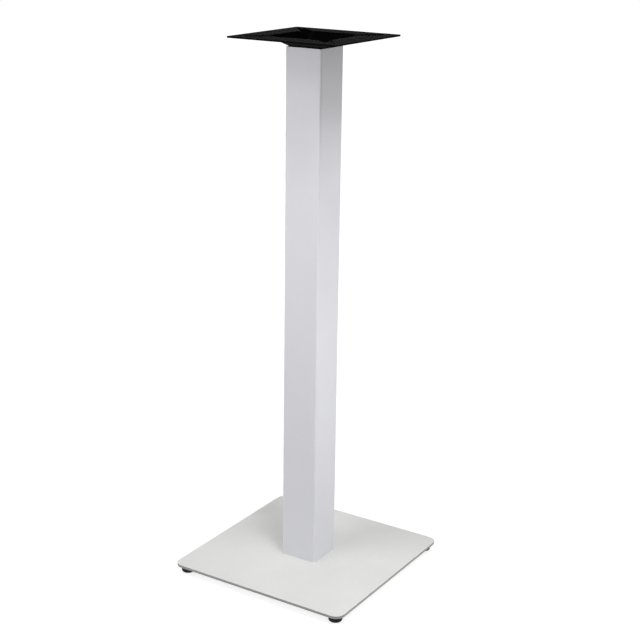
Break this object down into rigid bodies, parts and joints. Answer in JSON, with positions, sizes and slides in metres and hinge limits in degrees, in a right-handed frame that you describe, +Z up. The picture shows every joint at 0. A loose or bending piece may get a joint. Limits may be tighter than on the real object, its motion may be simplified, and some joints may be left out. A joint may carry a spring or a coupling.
{
  "type": "pedestal table leg",
  "caption": "Square pedestal table leg: flat square base plate on levelling glides, square tube column and pressed square top plate with screw holes for a table top.",
  "frame": {"origin": "on the floor, under the middle of the square base plate, with the glides at the height that the picture shows", "axes": "+Z up along the column; X and Y run square to the sides of the base plate, the column and the top plate"},
  "size_m": [0.406, 0.406, 1.1],
  "materials": {
    "white_powder_coat": "satin white powder coat with a fine grain",
    "black_paint": "semi-gloss black paint on pressed steel",
    "zinc_plate": "bright zinc plate",
    "black_plastic": "matte moulded polyethylene"
  },
  "bodies": {
    "frame": {"base_plate": "white_powder_coat", "column_locator": "white_powder_coat", "column_tube": "white_powder_coat", "column_head_plate": "white_powder_coat", "top_plate": "black_paint", "tie_rod": "zinc_plate", "top_washer": "zinc_plate", "top_nut": "zinc_plate", "bottom_washer": "zinc_plate", "bottom_nut": "zinc_plate", "foot_boss_front": "white_powder_coat", "foot_boss_right": "white_powder_coat", "foot_boss_back": "white_powder_coat", "foot_boss_left": "white_powder_coat"},
    "foot_front": {"foot_pad_front": "black_plastic", "foot_stud_front": "zinc_plate"},
    "foot_right": {"foot_pad_right": "black_plastic", "foot_stud_right": "zinc_plate"},
    "foot_back": {"foot_pad_back": "black_plastic", "foot_stud_back": "zinc_plate"},
    "foot_left": {"foot_pad_left": "black_plastic", "foot_stud_left": "zinc_plate"}
  },
  "joints": [
    {"name": "foot_front_level", "type": "slide", "parent": "frame", "child": "foot_front", "axis": [0, 0, -1], "range_m": [-0.001, 0.005]},
    {"name": "foot_right_level", "type": "slide", "parent": "frame", "child": "foot_right", "axis": [0, 0, -1], "range_m": [-0.001, 0.005]},
    {"name": "foot_back_level", "type": "slide", "parent": "frame", "child": "foot_back", "axis": [0, 0, -1], "range_m": [-0.001, 0.005]},
    {"name": "foot_left_level", "type": "slide", "parent": "frame", "child": "foot_left", "axis": [0, 0, -1], "range_m": [-0.001, 0.005]}
  ]
}
